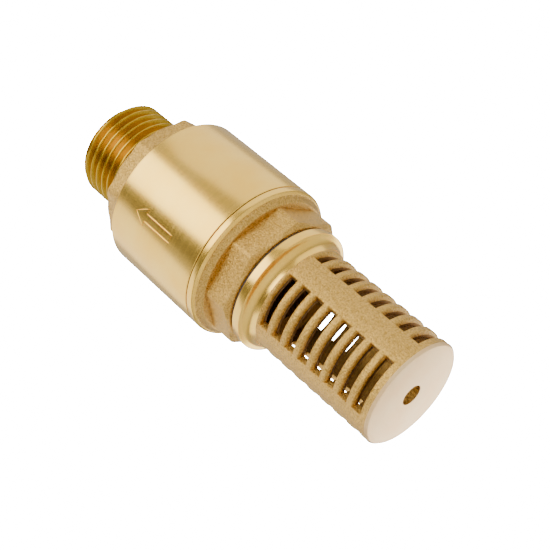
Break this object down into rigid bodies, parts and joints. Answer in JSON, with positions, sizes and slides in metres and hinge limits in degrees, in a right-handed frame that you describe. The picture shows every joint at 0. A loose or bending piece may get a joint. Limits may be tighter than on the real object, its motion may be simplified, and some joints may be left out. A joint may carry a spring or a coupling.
{
  "type": "foot valve",
  "caption": "Brass foot valve with a male threaded outlet, a spring-closed check disc inside a round body and a screwed-in slotted strainer.",
  "frame": {"origin": "centre of the outlet end face, on the valve's axis", "axes": "+Z along the valve's axis, the way the water flows, out of the outlet; the strainer points to -Z"},
  "size_m": [0.033, 0.033, 0.0847],
  "materials": {
    "turned_brass": "turned",
    "cast_brass": "sand cast",
    "stainless_steel": "drawn",
    "black_rubber": "moulded",
    "fibre_gasket": "pressed fibre",
    "guide_polymer": "moulded"
  },
  "bodies": {
    "housing": {"valve_body": "turned_brass", "inlet_connector": "cast_brass", "body_o_ring": "black_rubber", "stem_guide": "turned_brass", "guide_bush": "guide_polymer", "valve_spring": "stainless_steel"},
    "check": {"poppet": "turned_brass", "seat_seal": "black_rubber", "seal_retainer": "turned_brass", "lock_washer": "stainless_steel", "retainer_nut": "stainless_steel"},
    "gasket": {"strainer_gasket": "fibre_gasket"},
    "strainer": {"strainer": "cast_brass"}
  },
  "joints": [
    {"name": "check_lift", "type": "slide", "parent": "housing", "child": "check", "axis": [0, 0, 1], "range_m": [0, 0.005], "stiffness_N_per_m": 200, "springref_m": -0.004, "deforming": ["valve_spring"]},
    {"name": "strainer_travel", "type": "slide", "parent": "housing", "child": "gasket", "axis": [0, 0, -1], "range_m": [0, 0.00908]},
    {"name": "strainer_turn", "type": "hinge", "parent": "gasket", "child": "strainer", "pos_m": [0, 0, -0.05155], "axis": [0, 0, -1], "range_deg": [0, 1800]}
  ],
  "couplings": [
    {"joint": "strainer_travel", "follows": "strainer_turn", "m_per_rad": 0.00028871}
  ]
}
